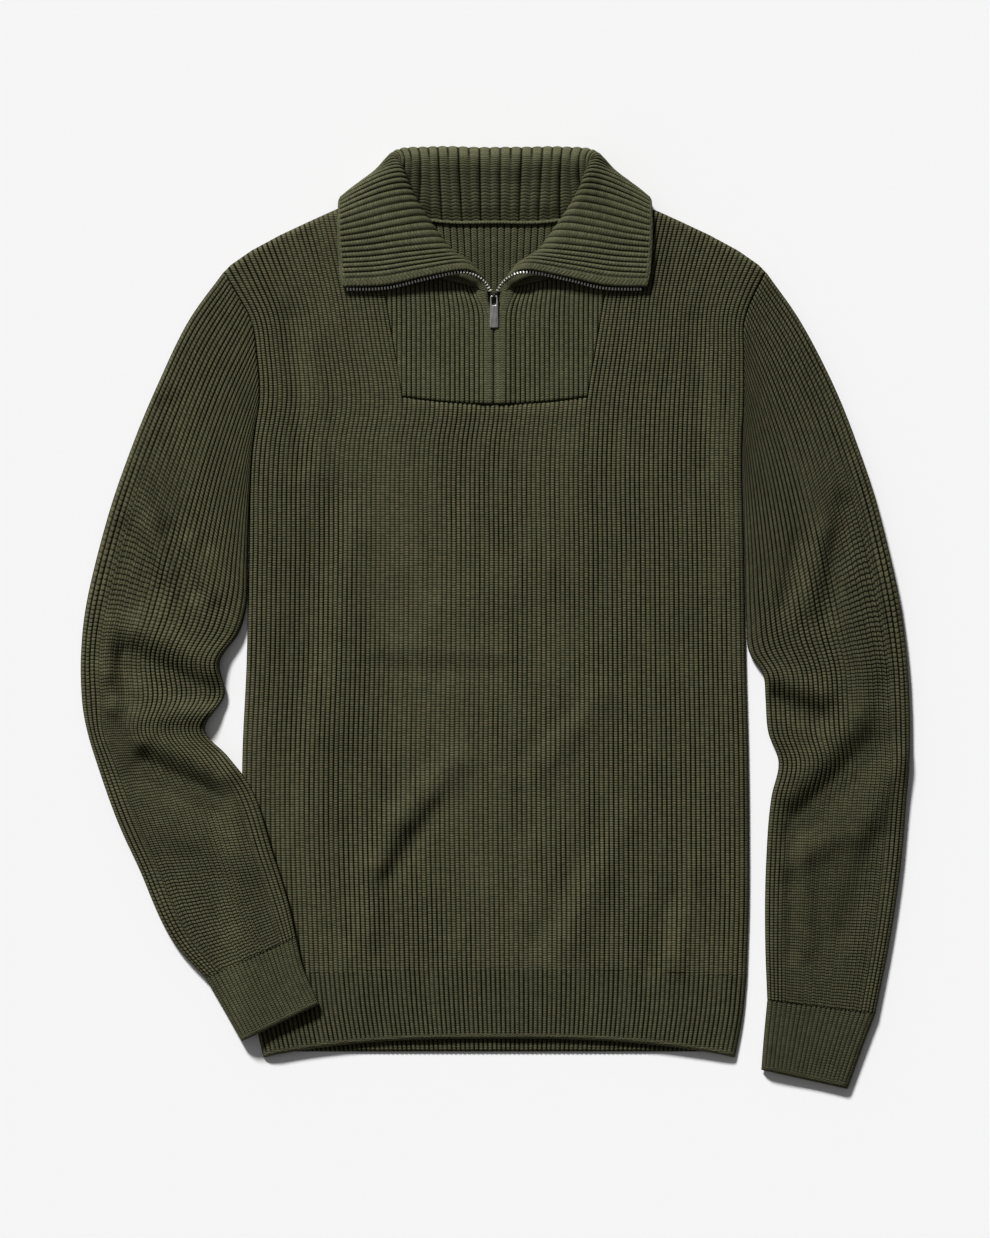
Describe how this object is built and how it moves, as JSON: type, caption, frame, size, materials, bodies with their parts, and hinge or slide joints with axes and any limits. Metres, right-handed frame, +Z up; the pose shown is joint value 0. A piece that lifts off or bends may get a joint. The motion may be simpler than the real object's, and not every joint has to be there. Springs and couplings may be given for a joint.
{
  "type": "quarter zip sweater",
  "caption": "Rib-knit pullover with a folded polo collar, inset zip yoke, long sleeves, ribbed cuffs and hem, laid flat with its zip part open.",
  "frame": {"origin": "on the back panel's flat underside, in the middle of the body, level with the elbows", "axes": "+Z up, out of the garment's front as it lies on its back; +Y from the hem to the collar; +X towards the sleeve that lies straight beside the body"},
  "size_m": [0.6639, 0.7539, 0.0258],
  "materials": {
    "rib_knit": "matt rib knit",
    "zip_tape": "woven tape",
    "dark_metal": "dark plated",
    "brushed_metal": "brushed"
  },
  "bodies": {
    "root": {"front": "rib_knit", "back": "rib_knit", "hem_front": "rib_knit", "hem_back": "rib_knit", "yoke_left": "rib_knit", "yoke_right": "rib_knit", "sleeve_left": "rib_knit", "sleeve_right": "rib_knit", "cuff_left": "rib_knit", "cuff_right": "rib_knit", "collar": "rib_knit", "zip_tape_left": "zip_tape", "zip_tape_right": "zip_tape", "zip_slider": "dark_metal"},
    "pull": {"zip_pull": "brushed_metal"}
  },
  "joints": [
    {"name": "pull_hinge", "type": "hinge", "parent": "root", "child": "pull", "pos_m": [-0.0008, 0.258, 0.0102], "axis": [-1, 0, 0], "range_deg": [0, 150]}
  ]
}
